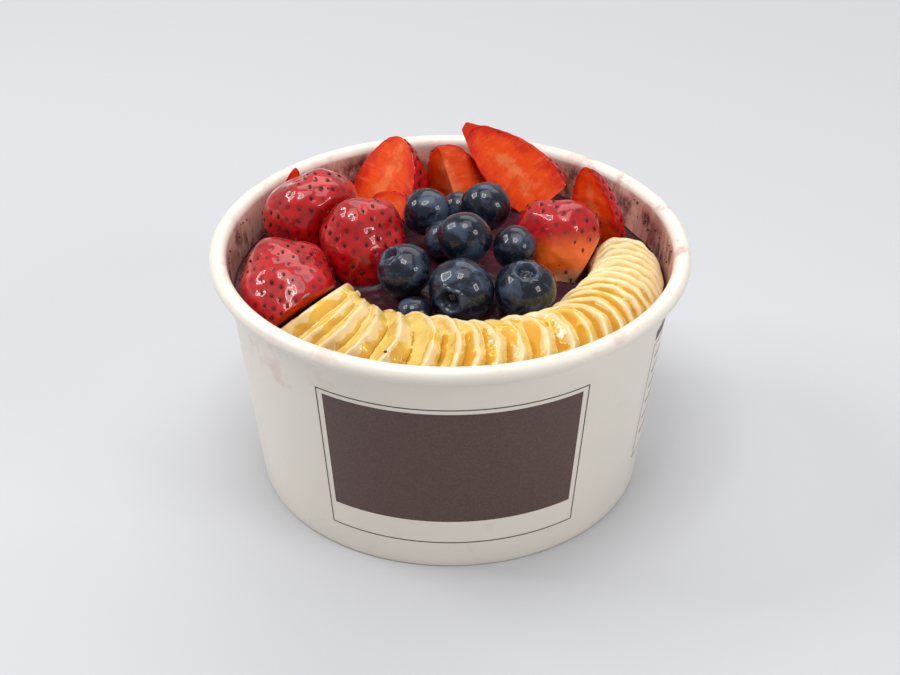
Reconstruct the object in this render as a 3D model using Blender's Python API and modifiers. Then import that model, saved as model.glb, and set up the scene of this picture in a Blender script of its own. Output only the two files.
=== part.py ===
"""An acai bowl: a paper tub of acai, topped with strawberries, blueberries and a fan of banana slices.

Metres, +Z up. The origin is the middle of the face the tub stands on, and -Y is the front.
"""

import math
from dataclasses import dataclass

import bmesh
import bpy
from mathutils import Matrix, Vector, noise

MM = 0.001

# The paper tub.
TUB_HEIGHT = 68 * MM
RIM_RADIUS = 63.5 * MM  # to the outside of the rolled rim
ROLL_RADIUS = 2.3 * MM
BASE_RADIUS = 52 * MM
PAPER = 0.7 * MM
SKIRT_HEIGHT = 7 * MM  # the wall's foot, below the recessed floor
SKIRT_PAPER = 1.4 * MM  # the wall is folded double there
TUB_STEPS = 52

# Every piece stays this far from its neighbours.
GAP = 0.3 * MM

# The acai's uneven top.
ACAI_EDGE = 54.5 * MM  # its height at the wall
ACAI_MOUND = 4 * MM  # how much higher it stands in the middle
MOUND_RADIUS = 30 * MM
ACAI_RIPPLE = 0.7 * MM
ACAI_RINGS = 11
ACAI_STEPS = 42

# The fan of banana slices runs anticlockwise along the wall, each slice leaning on to the next.
FAN_START = math.radians(-154)
FAN_STEPS = (  # in millimetres
    (6.6, 4.8, 6.6, 7.2, 8.8, 6.6, 5.2, 5.0, 5.6, 6.6, 6.2, 5.6, 5.2, 5.0)
    + (4.6, 4.3, 4.0, 3.8, 3.6, 3.5, 3.4, 3.3, 3.2, 3.2, 3.2)
)
FIRST_LEAN = math.radians(51)  # from upright
MOST_LEAN = math.radians(59)
LAST_LEAN = math.radians(20)
FIRST_TILT = math.radians(26)  # the slices' inner side is the higher one
LAST_TILT = math.radians(8)
FIRST_SLICE_RADIUS = 14.2 * MM
LAST_SLICE_RADIUS = 9.8 * MM
FAN_TOP = 66 * MM
FAN_START_INSET = 3 * MM  # the first slices stand off the wall
SLICE_SIDES = 16
TRENCH_REACH = 7 * MM  # how near a slice the acai must pass below it
TRENCH_DROP = 1 * MM

BERRY_SEGMENTS = 12
BERRY_RINGS = 7
STRAWBERRY_SEGMENTS = 14
STRAWBERRY_RINGS = 9
SHOULDER = 0.35  # less makes the calyx end flatter
CUTTER_GAP = 0.5 * MM  # sharp corners of a grown cutter come nearer than this


@dataclass
class Blueberry:
    """Sizes and places are in millimetres. The crown points along a vector."""

    name: str
    centre: tuple
    radius: float
    crown: tuple


@dataclass
class Strawberry:
    """Sizes and places are in millimetres. The tip points along a vector.

    A cut is (normal, distance): what lies beyond a plane that far from the centre is cut away.
    """

    name: str
    centre: tuple
    length: float
    width: float
    tip: tuple
    cuts: tuple = ()
    taper: float = 0.6  # more is more pointed


BLUEBERRIES = (
    Blueberry("blueberry_front", (2.8, -17.5, 63), 8.7, (-0.4, -0.9, 0.1)),
    Blueberry("blueberry_front_right", (19.5, -17, 63), 8.2, (0, -0.3, 1)),
    Blueberry("blueberry_left", (-12.0, -9.8, 64.5), 7.4, (-0.6, -0.2, 0.8)),
    Blueberry("blueberry_right", (17, -2.6, 67), 6.2, (0.8, 0.4, -0.2)),
    Blueberry("blueberry_top", (3.9, -2.3, 70), 7.2, (0.2, 0.9, 0.3)),
    Blueberry("blueberry_middle", (-1.6, 7.4, 64), 5.5, (-0.7, 0.6, 0.2)),
    Blueberry("blueberry_back_left", (-6.3, 18, 66.5), 6.8, (-0.5, 0.6, 0.5)),
    Blueberry("blueberry_back_right", (9.8, 20, 67), 7.1, (0.4, 0.7, 0.5)),
    Blueberry("blueberry_back", (2.4, 28, 61.5), 5.4, (0, 1, 0)),
    Blueberry("blueberry_low", (-9.3, -20.6, 58), 4.9, (0, -0.5, -0.8)),
)

STRAWBERRIES = (
    Strawberry(
        "strawberry_left",
        (-36.5, 21.5, 60.5),
        28,
        26.5,
        (0.45, -0.35, -0.8),
        (((0.63, -0.77, 0.09), 8.4), ((-0.5, 0.8, -0.2), 11)),
    ),
    Strawberry(
        "strawberry_front_left",
        (-42.2, -15.4, 59.8),
        35,
        25,
        (0.15, -0.97, -0.05),
        (((0.62, -0.62, -0.48), 7.5), ((0.582, -0.416, -0.698), 5.4), ((-0.94, -0.34, 0), 12.8)),
    ),
    Strawberry("strawberry_inner_left", (-23, 4.6, 62), 28, 22, (0.15, -0.6, -0.8)),
    Strawberry("strawberry_back_left", (-18.5, 41, 63.5), 28, 25, (0.3, 0.25, 0.9), (((-0.72, -0.5, 0.48), 0),), 0.55),
    Strawberry("strawberry_behind", (-17, 26, 62.5), 14, 12, (0.7, 0.2, 0.3), (((-0.3, -0.8, 0.6), 1),)),
    Strawberry(
        "strawberry_back",
        (1, 41.6, 60),
        28,
        26,
        (-0.3, 0.3, 0.9),
        (((-0.75, -0.62, -0.05), 1), ((0.55, -0.75, 0.4), 1)),
    ),
    Strawberry(
        "strawberry_tall",
        (16.6, 43.2, 67.6),
        40,
        19,
        (-0.76, 0.2, 0.62),
        (((-0.2, -0.85, 0.45), 0), ((0.2, 0.85, -0.45), 5), ((0.7, -0.2, -0.69), 15), ((-0.76, 0.2, 0.62), 17)),
        0.85,
    ),
    Strawberry(
        "strawberry_right",
        (39, 18.5, 65),
        28,
        18,
        (-0.2, 0.12, 1),
        (((-0.75, -0.65, -0.05), 0), ((0.75, 0.65, 0.05), 5)),
    ),
    Strawberry(
        "strawberry_inner_right",
        (28.7, 7.4, 60.3),
        28,
        24.8,
        (-0.1, -0.5, -0.8),
        (((-0.69, -0.6, 0.4), 10.2), ((0.85, -0.2, -0.5), 7.6)),
    ),
    Strawberry("strawberry_peak", (-43.7, 32.4, 65.5), 14, 7, (0.3, 0.1, 1), (((0.5, -0.8, 0.2), 0),)),
)

COLOURS = {  # linear RGB and roughness
    "paper": ((0.76, 0.72, 0.66), 0.5),
    "acai": ((0.06, 0.012, 0.02), 0.35),
    "strawberry": ((0.55, 0.02, 0.015), 0.25),
    "blueberry": ((0.012, 0.016, 0.035), 0.3),
    "banana": ((0.85, 0.62, 0.27), 0.4),
}


def clear_scene():
    for obj in list(bpy.data.objects):
        bpy.data.objects.remove(obj)


def new_collection(name):
    collection = bpy.data.collections.new(name)
    bpy.context.scene.collection.children.link(collection)
    return collection


def new_material(name):
    colour, roughness = COLOURS[name]
    material = bpy.data.materials.new(name)
    material.use_nodes = True
    shader = material.node_tree.nodes["Principled BSDF"]
    shader.inputs["Base Color"].default_value = (*colour, 1)
    shader.inputs["Roughness"].default_value = roughness
    shader.inputs["Metallic"].default_value = 0
    return material


def add_object(name, mesh, material, collection, matrix=None):
    """The mesh as a smooth-shaded object with sharp cuts."""
    mesh.materials.append(material)
    mesh.shade_smooth()
    mesh.set_sharp_from_angle(angle=math.radians(40))
    obj = bpy.data.objects.new(name, mesh)
    if matrix:
        obj.matrix_world = matrix
    collection.objects.link(obj)
    return obj


def mesh_from(bm, name):
    bmesh.ops.recalc_face_normals(bm, faces=bm.faces)
    mesh = bpy.data.meshes.new(name)
    bm.to_mesh(mesh)
    bm.free()
    return mesh


def turned_mesh(name, profile, steps):
    """The (radius, height) points turned about Z. The profile starts and ends on the axis."""
    mesh = bpy.data.meshes.new(name)
    edges = [(i, i + 1) for i in range(len(profile) - 1)]
    mesh.from_pydata([(radius, 0, height) for radius, height in profile], edges, [])
    guide = bpy.data.objects.new(name + "_profile", mesh)
    bpy.context.scene.collection.objects.link(guide)
    screw = guide.modifiers.new("Turn", "SCREW")
    screw.steps = screw.render_steps = steps
    screw.use_merge_vertices = True
    screw.merge_threshold = 0.05 * MM
    turned = bpy.data.meshes.new_from_object(guide.evaluated_get(bpy.context.evaluated_depsgraph_get()))
    bpy.data.objects.remove(guide)
    turned.name = name
    return turned


# ---- The tub ----


def wall_radius(height):
    """The outside of the tub's wall, which leans out towards the rim."""
    top = RIM_RADIUS - 2 * ROLL_RADIUS + PAPER
    return BASE_RADIUS + (top - BASE_RADIUS) * height / (TUB_HEIGHT - ROLL_RADIUS)


def inside_radius(height):
    return wall_radius(height) - PAPER


def rim_arc():
    """The rolled rim, from the top of the inner wall over the outside and round under it."""
    roll_middle = Vector((RIM_RADIUS - ROLL_RADIUS, TUB_HEIGHT - ROLL_RADIUS))
    first, last, points = math.radians(180), math.radians(-140), 9
    for i in range(points):
        angle = first + (last - first) * i / (points - 1)
        yield (
            roll_middle.x + ROLL_RADIUS * math.cos(angle),
            roll_middle.y + ROLL_RADIUS * math.sin(angle),
        )


def tub_profile():
    floor_top = SKIRT_HEIGHT + PAPER
    return [
        (0, floor_top),
        (inside_radius(floor_top), floor_top),
        *rim_arc(),
        (wall_radius(0), 0),
        (wall_radius(0) - SKIRT_PAPER, 0),
        (wall_radius(SKIRT_HEIGHT) - SKIRT_PAPER, SKIRT_HEIGHT),
        (0, SKIRT_HEIGHT),
    ]


# ---- The fan of banana slices ----


def blend(first, last, share):
    return first + (last - first) * share


@dataclass
class Slice:
    """One banana slice. Share runs from 0 at the fan's start to 1 at its end."""

    angle: float
    share: float

    @property
    def radius(self):
        wobble = 1 + 0.03 * math.sin(9 * self.angle)
        return wobble * blend(FIRST_SLICE_RADIUS, LAST_SLICE_RADIUS, self.share**1.5)

    @property
    def lean(self):
        if self.share < 0.25:
            return blend(FIRST_LEAN, MOST_LEAN, self.share / 0.25)
        return blend(MOST_LEAN, LAST_LEAN, (self.share - 0.25) / 0.75)

    @property
    def tilt(self):
        return blend(FIRST_TILT, LAST_TILT, self.share)

    @property
    def fan_radius(self):
        """How far the slice's middle is from the tub's axis."""
        inset = GAP + 0.6 * MM + FAN_START_INSET * max(0, 1 - self.share / 0.3)
        return inside_radius(ACAI_EDGE) - inset - self.radius * math.cos(self.tilt) ** 2

    @property
    def height(self):
        return FAN_TOP - self.radius * max(math.cos(self.lean), math.sin(self.tilt))

    def matrix(self):
        """Local X points out to the wall, local Y up the slice, and local Z back from its upper face."""
        outward = Vector((math.cos(self.angle), math.sin(self.angle), 0))
        onward = Vector((-math.sin(self.angle), math.cos(self.angle), 0))
        up = Vector((0, 0, math.cos(self.lean))) + onward * math.sin(self.lean)
        turn = Matrix((outward, up, outward.cross(up))).transposed().to_4x4()
        place = Matrix.Translation(outward * self.fan_radius + Vector((0, 0, self.height)))
        return place @ Matrix.Rotation(self.tilt, 4, onward) @ turn


def fan_slices():
    angle = FAN_START
    for number, step in enumerate((0, *FAN_STEPS)):
        share = number / len(FAN_STEPS)
        angle += step * MM / Slice(angle, share).fan_radius
        yield Slice(angle, share)


def slice_mesh(piece, following):
    """A disc with soft lobes from its upper face at local z = 0 down to the following slice's upper face."""
    to_local = piece.matrix().inverted() @ following.matrix()
    plane_point, plane_normal = to_local.translation, to_local.col[2].xyz
    bm = bmesh.new()
    rings = []
    for inset, share in ((0.93, 0), (1, 0.2), (1, 0.8), (0.93, 1)):
        ring = []
        for side in range(SLICE_SIDES):
            around = math.tau * side / SLICE_SIDES
            lobes = 1 + 0.025 * math.cos(3 * around + 5 * piece.angle) + 0.015 * math.cos(2 * around)
            spot = Vector((math.cos(around), math.sin(around), 0)) * inset * lobes / 1.04 * piece.radius
            depth = (plane_point - spot).dot(plane_normal) / plane_normal.z + GAP
            ring.append(bm.verts.new(spot + Vector((0, 0, depth * share))))
        rings.append(ring)
    bm.faces.new(rings[0])
    bm.faces.new(rings[-1])
    for ring, after in zip(rings, rings[1:]):
        for side in range(SLICE_SIDES):
            bm.faces.new((ring[side - 1], ring[side], after[side], after[side - 1]))
    return mesh_from(bm, "banana_slice")


# ---- Berries ----


def blueberry_mesh(berry):
    """A slightly flat ball along Z with its crown's crater at the top."""
    bm = bmesh.new()
    bmesh.ops.create_uvsphere(bm, u_segments=BERRY_SEGMENTS, v_segments=BERRY_RINGS, radius=berry.radius * MM)
    top = max(vertex.co.z for vertex in bm.verts)
    for vertex in bm.verts:
        if vertex.co.z > 0.99 * top:
            vertex.co.z = 0.72 * top
        vertex.co.z *= 0.92
    return mesh_from(bm, berry.name)


def strawberry_girth(share, taper):
    """The berry's half width over its greatest, by the share of its length from the tip."""
    widest = taper / (taper + SHOULDER)
    most = widest**taper * (1 - widest) ** SHOULDER
    return share**taper * (1 - share) ** SHOULDER / most


def strawberry_mesh(berry):
    """The berry with its tip along -Z, then cut."""
    bm = bmesh.new()
    bmesh.ops.create_uvsphere(bm, u_segments=STRAWBERRY_SEGMENTS, v_segments=STRAWBERRY_RINGS, radius=1)
    phase = len(berry.name)
    for vertex in bm.verts:
        share = (vertex.co.z + 1) / 2
        around = math.atan2(vertex.co.y, vertex.co.x)
        flat = vertex.co.xy.length
        if flat > 1e-4:
            lumps = 1 + 0.04 * math.sin(2 * around + phase) + 0.03 * math.sin(3 * around + 2 * phase)
            vertex.co.xy *= strawberry_girth(share, berry.taper) * lumps / flat * berry.width / 2 * MM
        vertex.co.z *= berry.length / 2 * MM
    to_local = strawberry_matrix(berry).to_3x3().inverted()
    for direction, distance in berry.cuts:
        normal = to_local @ Vector(direction).normalized()
        bmesh.ops.bisect_plane(
            bm,
            geom=bm.verts[:] + bm.edges[:] + bm.faces[:],
            plane_co=normal * distance * MM,
            plane_no=normal,
            clear_outer=True,
        )
        rim = [edge for edge in bm.edges if edge.is_boundary]
        bmesh.ops.contextual_create(bm, geom=rim)
    return mesh_from(bm, berry.name)


def strawberry_matrix(berry):
    turn = (-Vector(berry.tip)).to_track_quat("Z", "Y").to_matrix().to_4x4()
    return Matrix.Translation(Vector(berry.centre) * MM) @ turn


def crown_matrix(berry):
    turn = Vector(berry.crown).to_track_quat("Z", "Y").to_matrix().to_4x4()
    return Matrix.Translation(Vector(berry.centre) * MM) @ turn


# ---- The acai ----


def acai_height(x, y, rims):
    """The heap's height, or less to pass under the banana slices whose rim points are close by."""
    mound = ACAI_MOUND * math.exp(-((math.hypot(x, y) / MOUND_RADIUS) ** 2))
    ripple = ACAI_RIPPLE * noise.noise(Vector((x, y, 0)) / (9 * MM))
    near = [point.z for point in rims if math.hypot(point.x - x, point.y - y) < TRENCH_REACH]
    return min([ACAI_EDGE + mound + ripple] + [height - TRENCH_DROP for height in near])


def acai_mesh(rims):
    """A turned filling inside the tub, with its top then pushed to the heap's height."""
    floor = SKIRT_HEIGHT + PAPER + GAP
    edge_radius = inside_radius(ACAI_EDGE) - GAP
    top = [(edge_radius * i / ACAI_RINGS, ACAI_EDGE) for i in range(ACAI_RINGS + 1)]
    mesh = turned_mesh("acai", [*top, (inside_radius(floor) - GAP, floor), (0, floor)], ACAI_STEPS)
    for vertex in mesh.vertices:
        x, y, height = vertex.co
        if height > floor + GAP:
            new_height = acai_height(x, y, rims)
            most = inside_radius(new_height) - GAP
            reach = math.hypot(x, y)
            if reach > most:
                vertex.co.x *= most / reach
                vertex.co.y *= most / reach
            vertex.co.z = new_height
    return mesh


def cut_round(target, pieces, cutters):
    """Cuts the target round the pieces, leaving a gap."""
    for piece in pieces:
        cutter = piece.copy()
        cutter.data = piece.data.copy()
        cutter.name = piece.name + "_cutter"
        cutter.hide_render = True
        cutter.display_type = "WIRE"
        cutters.objects.link(cutter)
        grow = cutter.modifiers.new("Grow", "DISPLACE")
        grow.strength = CUTTER_GAP
        grow.mid_level = 0
    cut = target.modifiers.new("Cut round the berries", "BOOLEAN")
    cut.operation = "DIFFERENCE"
    cut.operand_type = "COLLECTION"
    cut.collection = cutters


def main():
    clear_scene()
    parts = new_collection("acai_bowl")
    cutters = new_collection("cutters")
    materials = {name: new_material(name) for name in COLOURS}
    add_object("tub", turned_mesh("tub", tub_profile(), TUB_STEPS), materials["paper"], parts)
    rims = []
    slices = list(fan_slices())
    for number, (piece, following) in enumerate(zip(slices, slices[1:]), 1):
        name = f"banana_{number:02d}"
        mesh, matrix = slice_mesh(piece, following), piece.matrix()
        add_object(name, mesh, materials["banana"], parts, matrix)
        rims += [matrix @ vertex.co for vertex in mesh.vertices]
    berries = []
    for berry in BLUEBERRIES:
        mesh, matrix = blueberry_mesh(berry), crown_matrix(berry)
        berries.append(add_object(berry.name, mesh, materials["blueberry"], parts, matrix))
    for berry in STRAWBERRIES:
        mesh, matrix = strawberry_mesh(berry), strawberry_matrix(berry)
        berries.append(add_object(berry.name, mesh, materials["strawberry"], parts, matrix))
    acai = add_object("acai", acai_mesh(rims), materials["acai"], parts)
    cut_round(acai, berries, cutters)


main()
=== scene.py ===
"""The look of the acai bowl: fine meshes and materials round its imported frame, lights and the camera.

Metres, +Z up, -Y is the front. The tables of berries and slices repeat those of part.py.
"""

import math
from dataclasses import dataclass

import bpy
import numpy as np
from mathutils import Matrix, Vector, noise
from mathutils.bvhtree import BVHTree

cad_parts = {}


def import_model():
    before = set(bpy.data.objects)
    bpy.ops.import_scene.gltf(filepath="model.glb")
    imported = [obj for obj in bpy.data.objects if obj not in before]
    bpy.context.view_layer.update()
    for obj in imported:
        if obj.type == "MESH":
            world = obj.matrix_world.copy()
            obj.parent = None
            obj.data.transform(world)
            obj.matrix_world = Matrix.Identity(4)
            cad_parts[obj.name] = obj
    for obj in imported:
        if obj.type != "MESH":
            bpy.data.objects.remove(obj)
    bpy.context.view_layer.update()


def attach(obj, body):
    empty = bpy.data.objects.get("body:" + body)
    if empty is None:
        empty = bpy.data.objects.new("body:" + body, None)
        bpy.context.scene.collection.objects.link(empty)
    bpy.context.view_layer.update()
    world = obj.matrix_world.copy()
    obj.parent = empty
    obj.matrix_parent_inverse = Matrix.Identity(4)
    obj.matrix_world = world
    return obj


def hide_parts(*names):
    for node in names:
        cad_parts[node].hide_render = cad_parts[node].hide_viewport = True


MM = 0.001
BODY = "root"

# The tub, as in part.py.
TUB_HEIGHT = 68 * MM
RIM_RADIUS = 63.5 * MM
ROLL_RADIUS = 2.3 * MM
BASE_RADIUS = 52 * MM
PAPER = 0.7 * MM
SKIRT_HEIGHT = 7 * MM
SKIRT_PAPER = 1.4 * MM
GAP = 0.3 * MM
TUB_STEPS = 240
WALL_ROWS = 26
ROLL_ROWS = 25
INSIDE_ROWS = 6 + WALL_ROWS  # the floor's six rows and the wall's
ABOVE_ALL = 0.09  # a height over every topping, where rays start

# The printed panel on the tub's front. Angles are from the front, anticlockwise seen from above.
PANEL_MIDDLE = math.radians(0.8)
FRAME_HALF_WIDTH = math.radians(35.8)
FRAME_LOW, FRAME_HIGH = 8.6 * MM, 53.8 * MM
FRAME_LINE = 0.35 * MM
FIELD_HALF_WIDTH = math.radians(33.9)
FIELD_LOW, FIELD_HIGH = 16.2 * MM, 52.3 * MM
INK_HEIGHT = 0.03 * MM
SIDE_BLOCK = (math.radians(66), math.radians(104))
SIDE_LOW, SIDE_HIGH = 13 * MM, 50 * MM

# The acai's uneven top, as in part.py, but finer.
ACAI_EDGE = 54.5 * MM
ACAI_MOUND = 4 * MM
MOUND_RADIUS = 30 * MM
ACAI_RIPPLE = 0.7 * MM

# The fan of banana slices, as in part.py.
FAN_START = math.radians(-154)
FAN_STEPS = (
    (6.6, 4.8, 6.6, 7.2, 8.8, 6.6, 5.2, 5.0, 5.6, 6.6, 6.2, 5.6, 5.2, 5.0)
    + (4.6, 4.3, 4.0, 3.8, 3.6, 3.5, 3.4, 3.3, 3.2, 3.2, 3.2)
)
FIRST_LEAN = math.radians(51)
MOST_LEAN = math.radians(59)
LAST_LEAN = math.radians(20)
FIRST_TILT = math.radians(26)
LAST_TILT = math.radians(8)
FIRST_SLICE_RADIUS = 14.2 * MM
LAST_SLICE_RADIUS = 9.8 * MM
FAN_TOP = 66 * MM
FAN_START_INSET = 3 * MM
SLICE_SIDES = 96
SLICE_GAP = -0.05 * MM

SHOULDER = 0.35


@dataclass
class Blueberry:
    name: str
    centre: tuple
    radius: float
    crown: tuple


@dataclass
class Strawberry:
    """A berry whose skin gets paler towards the pale direction.

    Glaze is the share of syrup, and a whole berry's cuts are only dents.
    """

    name: str
    centre: tuple
    length: float
    width: float
    tip: tuple
    cuts: tuple = ()
    taper: float = 0.6
    pale: tuple = ()
    glaze: float = 0.25
    whole: bool = False


BLUEBERRIES = (
    Blueberry("blueberry_front", (2.8, -17.5, 63), 8.7, (-0.4, -0.9, 0.1)),
    Blueberry("blueberry_front_right", (19.5, -17, 63), 8.2, (0, -0.3, 1)),
    Blueberry("blueberry_left", (-12.0, -9.8, 64.5), 7.4, (-0.6, -0.2, 0.8)),
    Blueberry("blueberry_right", (17, -2.6, 67), 6.2, (0.8, 0.4, -0.2)),
    Blueberry("blueberry_top", (3.9, -2.3, 70), 7.2, (0.2, 0.9, 0.3)),
    Blueberry("blueberry_middle", (-1.6, 7.4, 64), 5.5, (-0.7, 0.6, 0.2)),
    Blueberry("blueberry_back_left", (-6.3, 18, 66.5), 6.8, (-0.5, 0.6, 0.5)),
    Blueberry("blueberry_back_right", (9.8, 20, 67), 7.1, (0.4, 0.7, 0.5)),
    Blueberry("blueberry_back", (2.4, 28, 61.5), 5.4, (0, 1, 0)),
    Blueberry("blueberry_low", (-9.3, -20.6, 58), 4.9, (0, -0.5, -0.8)),
)

STRAWBERRIES = (
    Strawberry(
        "strawberry_left",
        (-36.5, 21.5, 60.5),
        28,
        26.5,
        (0.45, -0.35, -0.8),
        (((0.63, -0.77, 0.09), 8.4), ((-0.5, 0.8, -0.2), 11)),
        glaze=1,
        whole=True,
    ),
    Strawberry(
        "strawberry_front_left",
        (-42.2, -15.4, 59.8),
        35,
        25,
        (0.15, -0.97, -0.05),
        (((0.62, -0.62, -0.48), 7.5), ((0.582, -0.416, -0.698), 5.4), ((-0.94, -0.34, 0), 12.8)),
        glaze=1,
    ),
    Strawberry("strawberry_inner_left", (-23, 4.6, 62), 28, 22, (0.15, -0.6, -0.8), glaze=1),
    Strawberry(
        "strawberry_back_left",
        (-18.5, 41, 63.5),
        28,
        25,
        (0.3, 0.25, 0.9),
        (((-0.72, -0.5, 0.48), 0),),
        0.55,
    ),
    Strawberry("strawberry_behind", (-17, 26, 62.5), 14, 12, (0.7, 0.2, 0.3), (((-0.3, -0.8, 0.6), 1),)),
    Strawberry(
        "strawberry_back",
        (1, 41.6, 60),
        28,
        26,
        (-0.3, 0.3, 0.9),
        (((-0.75, -0.62, -0.05), 1), ((0.55, -0.75, 0.4), 1)),
    ),
    Strawberry(
        "strawberry_tall",
        (16.6, 43.2, 67.6),
        40,
        19,
        (-0.76, 0.2, 0.62),
        (
            ((-0.2, -0.85, 0.45), 0),
            ((0.2, 0.85, -0.45), 5),
            ((0.7, -0.2, -0.69), 15),
            ((-0.76, 0.2, 0.62), 17),
        ),
        0.85,
    ),
    Strawberry(
        "strawberry_right",
        (39, 18.5, 65),
        28,
        18,
        (-0.2, 0.12, 1),
        (((-0.75, -0.65, -0.05), 0), ((0.75, 0.65, 0.05), 5)),
    ),
    Strawberry(
        "strawberry_inner_right",
        (28.7, 7.4, 60.3),
        28,
        24.8,
        (-0.1, -0.5, -0.8),
        (((-0.69, -0.6, 0.4), 10.2), ((0.85, -0.2, -0.5), 7.6)),
        pale=(0.1, -0.6, -0.8),
        glaze=1,
        whole=True,
    ),
    Strawberry("strawberry_peak", (-43.7, 32.4, 65.5), 14, 7, (0.3, 0.1, 1), (((0.5, -0.8, 0.2), 0),)),
)

# Linear colours.
BOARD_WHITE = (0.88, 0.815, 0.72)
BOARD_MARKS = (0.66, 0.56, 0.47)
INK_BROWN = (0.085, 0.038, 0.029)
INK_SCUFFS = (0.25, 0.19, 0.17)
STAIN_PINK = (0.50, 0.22, 0.18)
STAIN_DARK = (0.13, 0.035, 0.032)
STAIN_FILM = (0.74, 0.38, 0.30)
STAIN_SMEAR = (0.62, 0.28, 0.27)
ACAI_DARK = (0.030, 0.004, 0.010)
ACAI_LIGHT = (0.075, 0.009, 0.022)
SPECK_DARK = (0.03, 0.008, 0.008)
SPECK_LIGHT = (0.09, 0.02, 0.015)
SKIN_RED = (0.56, 0.004, 0.006)
# Painted shade: a darker red for the skin in the seed pits.
SKIN_PIT_SHADE = (0.20, 0.004, 0.008)
SKIN_ORANGE = (0.80, 0.13, 0.012)
SKIN_PALE = (0.85, 0.55, 0.32)
FLESH_RED = (0.68, 0.022, 0.006)
FLESH_ORANGE = (0.90, 0.075, 0.004)
FLESH_PALE = (0.94, 0.27, 0.09)
SEED_RIPE = (0.17, 0.022, 0.008)
SEED_DARK = (0.05, 0.006, 0.004)
BERRY_BLACK = (0.006, 0.008, 0.015)
BERRY_BLOOM = (0.055, 0.080, 0.135)
BANANA_FLESH = (0.84, 0.56, 0.18)
BANANA_EDGE = (0.90, 0.73, 0.41)
BANANA_CORE = (0.62, 0.40, 0.12)
BANANA_HONEYED = (0.68, 0.35, 0.025)
HONEY_DEEP = (0.70, 0.45, 0.08)
HONEY_LIGHT = (0.80, 0.58, 0.15)
HONEY_TINT = (0.985, 0.88, 0.50)
FLOOR = (0.585, 0.592, 0.617)
WHITE = (1.0, 1.0, 1.0)


# ---- Shader helpers ----


class Shader:
    """A new material and short ways to add nodes to it."""

    def __init__(self, name, roughness=0.5, **inputs):
        self.material = bpy.data.materials.new(name)
        self.material.use_nodes = True
        self.tree = self.material.node_tree
        self.bsdf = self.tree.nodes["Principled BSDF"]
        self.bsdf.inputs["Roughness"].default_value = roughness
        for key, value in inputs.items():
            self.bsdf.inputs[key.replace("_", " ")].default_value = value

    def node(self, kind, **values):
        made = self.tree.nodes.new(kind)
        for key, value in values.items():
            if hasattr(made, key):
                setattr(made, key, value)
            else:
                made.inputs[key.replace("_", " ")].default_value = value
        return made

    def join(self, source, target):
        self.tree.links.new(source, target)

    def attribute(self, name):
        return self.node("ShaderNodeAttribute", attribute_name=name).outputs["Fac"]

    def fruit_place(self):
        """The place inside the fruit, stretched so that noise makes fibres from the core to the skin."""
        return self.node("ShaderNodeAttribute", attribute_name="fruit_place").outputs["Vector"]

    def place(self, scale=(1, 1, 1)):
        """Object coordinates, scaled."""
        mapping = self.node("ShaderNodeMapping")
        mapping.inputs["Scale"].default_value = scale
        self.join(self.node("ShaderNodeTexCoord").outputs["Object"], mapping.inputs["Vector"])
        return mapping.outputs["Vector"]

    def noise(self, scale, detail=3, place=None, roughness=0.5, distortion=0.0):
        """Noise whose scale is in waves for each metre."""
        made = self.node("ShaderNodeTexNoise", Scale=scale, Detail=detail, Roughness=roughness)
        made.inputs["Distortion"].default_value = distortion
        self.join(place or self.place(), made.inputs["Vector"])
        return made.outputs["Fac"]

    def ramp(self, factor, low, high, first=0.0, last=1.0):
        """The factor from low to high stretched to run from first to last."""
        made = self.node("ShaderNodeMapRange")
        made.interpolation_type = "SMOOTHSTEP"
        for key, value in (("From Min", low), ("From Max", high), ("To Min", first), ("To Max", last)):
            made.inputs[key].default_value = value
        self.join(factor, made.inputs["Value"])
        return made.outputs["Result"]

    def maths(self, operation, a, b):
        made = self.node("ShaderNodeMath", operation=operation)
        for socket, value in zip(made.inputs, (a, b)):
            if isinstance(value, (int, float)):
                socket.default_value = value
            else:
                self.join(value, socket)
        return made.outputs["Value"]

    def mix(self, factor, a, b):
        """Colour a where the factor is 0, and b where it is 1."""
        made = self.node("ShaderNodeMix", data_type="RGBA")
        sockets = [s for s in made.inputs if s.type == "RGBA"]
        for socket, value in zip(sockets, (a, b)):
            if isinstance(value, tuple):
                socket.default_value = (*value, 1)
            else:
                self.join(value, socket)
        self.join(factor, made.inputs[0])
        return [s for s in made.outputs if s.type == "RGBA"][0]

    def bump(self, height, strength, distance):
        made = self.node("ShaderNodeBump", Strength=strength, Distance=distance)
        self.join(height, made.inputs["Height"])
        self.join(made.outputs["Normal"], self.bsdf.inputs["Normal"])

    def colour(self, value):
        self.join(value, self.bsdf.inputs["Base Color"])


# ---- Mesh helpers ----


def blend(first, last, share):
    return first + (last - first) * share


def smoothstep(low, high, value):
    share = np.clip((value - low) / (high - low), 0, 1)
    return share * share * (3 - 2 * share)


def new_piece(name, points, faces, material, replaced=(), attributes=None):
    """A mesh that rides on the tub."""
    mesh = bpy.data.meshes.new(name)
    mesh.from_pydata([tuple(p) for p in points], [], faces)
    mesh.materials.append(material)
    mesh.shade_smooth()
    for key, values in (attributes or {}).items():
        values = np.asarray(values, dtype=np.float32)
        if values.ndim == 2:
            mesh.attributes.new(key, "FLOAT_VECTOR", "POINT").data.foreach_set("vector", values.ravel())
        else:
            mesh.attributes.new(key, "FLOAT", "POINT").data.foreach_set("value", values)
    piece = bpy.data.objects.new(name, mesh)
    bpy.context.scene.collection.objects.link(piece)
    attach(piece, BODY)
    if replaced:
        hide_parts(*replaced)
    return piece


def wrapped_faces(rows, columns):
    """Quads between rows of points that close round."""
    faces = []
    for row in range(rows - 1):
        for column in range(columns):
            after = (column + 1) % columns
            faces.append(
                (
                    row * columns + column,
                    row * columns + after,
                    (row + 1) * columns + after,
                    (row + 1) * columns + column,
                )
            )
    return faces


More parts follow.
